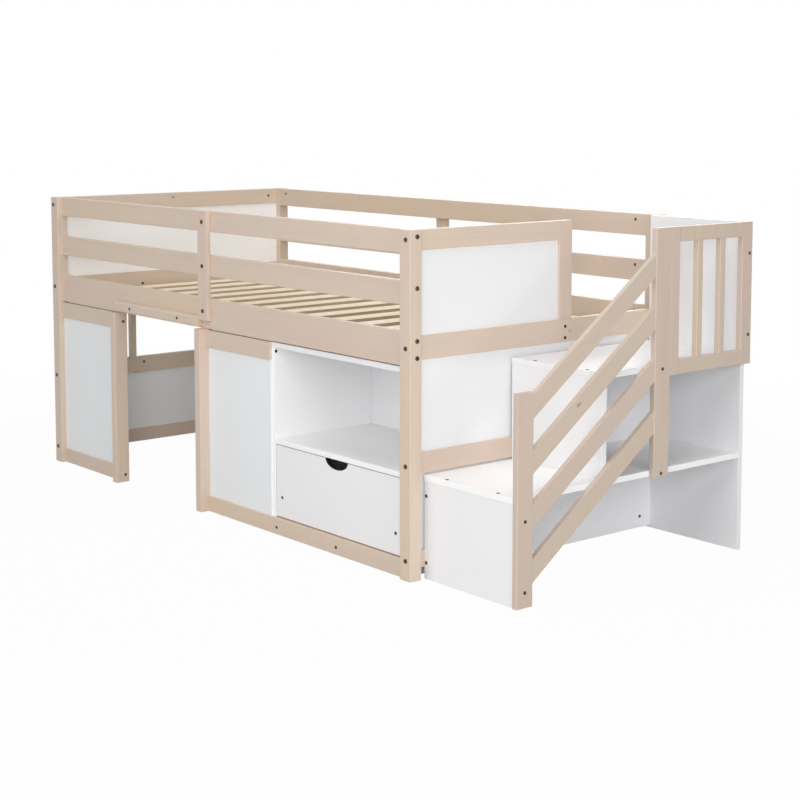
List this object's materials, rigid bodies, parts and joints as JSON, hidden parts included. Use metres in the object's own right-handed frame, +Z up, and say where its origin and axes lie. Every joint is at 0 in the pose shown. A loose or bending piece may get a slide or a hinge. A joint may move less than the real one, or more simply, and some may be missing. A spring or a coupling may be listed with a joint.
{
  "type": "low loft bed",
  "caption": "Low loft bed: timber posts and guard rails, slatted deck, doorway, cabinet with a drawer below, and a stair box with handrail at the head end.",
  "frame": {"origin": "on the floor, at the middle of the whole object's bounding box", "axes": "+Z up; +X along the bed towards the stair end; -Y towards the side with the doorway and the drawer"},
  "size_m": [2.3636, 1.0176, 0.95],
  "materials": {
    "washed_timber": "pale washed timber",
    "slat_timber": "planed pale pine",
    "white_board": "white coated board",
    "white_infill": "white painted panel",
    "dark_metal": "dark bronze",
    "runner_metal": "white enamel"
  },
  "bodies": {
    "frame": {"barrel_nuts": "dark_metal", "cabinet_back": "white_infill", "cabinet_bottom": "white_board", "cabinet_left_side": "white_board", "cabinet_right_side": "white_board", "cabinet_shelf": "white_board", "cabinet_top": "white_board", "door_header": "washed_timber", "door_post_left": "washed_timber", "door_post_right": "washed_timber", "drawer_runners": "runner_metal", "foot_infill": "white_infill", "foot_lower_infill": "white_infill", "foot_lower_rails": "washed_timber", "foot_upper_rails": "washed_timber", "foot_window_stile": "washed_timber", "frame_bolts": "dark_metal", "front_bottom_rail": "washed_timber", "guard_plank_back": "washed_timber", "guard_plank_front": "washed_timber", "guard_rails_back": "washed_timber", "guard_rails_front": "washed_timber", "handrail_lower_post": "washed_timber", "handrail_slats": "washed_timber", "handrail_upper_post": "washed_timber", "head_infill": "white_infill", "head_lower_infills": "white_infill", "head_lower_rails": "washed_timber", "head_stile": "washed_timber", "head_upper_rails": "washed_timber", "ledger_back": "slat_timber", "ledger_front": "slat_timber", "left_panel_bottom_rail": "washed_timber", "left_panel_infill": "white_infill", "left_panel_top_rail": "washed_timber", "platform_guard": "washed_timber", "post_back_left": "washed_timber", "post_back_right": "washed_timber", "post_front_left": "washed_timber", "post_front_right": "washed_timber", "right_panel_infill": "white_infill", "right_panel_top_rail": "washed_timber", "screws": "dark_metal", "side_rail_back": "washed_timber", "side_rail_front": "washed_timber", "slats": "slat_timber", "stair_back_panel": "white_board", "stair_lower_riser": "white_board", "stair_lower_side": "white_board", "stair_platform": "white_board", "stair_step": "white_board", "stair_upper_riser": "white_board", "stair_upper_side": "white_board"},
    "drawer": {"drawer_back": "white_board", "drawer_bottom": "white_board", "drawer_front": "white_board", "drawer_left_side": "white_board", "drawer_right_side": "white_board", "drawer_screws": "dark_metal", "drawer_slides": "runner_metal"}
  },
  "joints": [
    {"name": "drawer_slide", "type": "slide", "parent": "frame", "child": "drawer", "axis": [0, -1, 0], "range_m": [0, 0.27]}
  ]
}
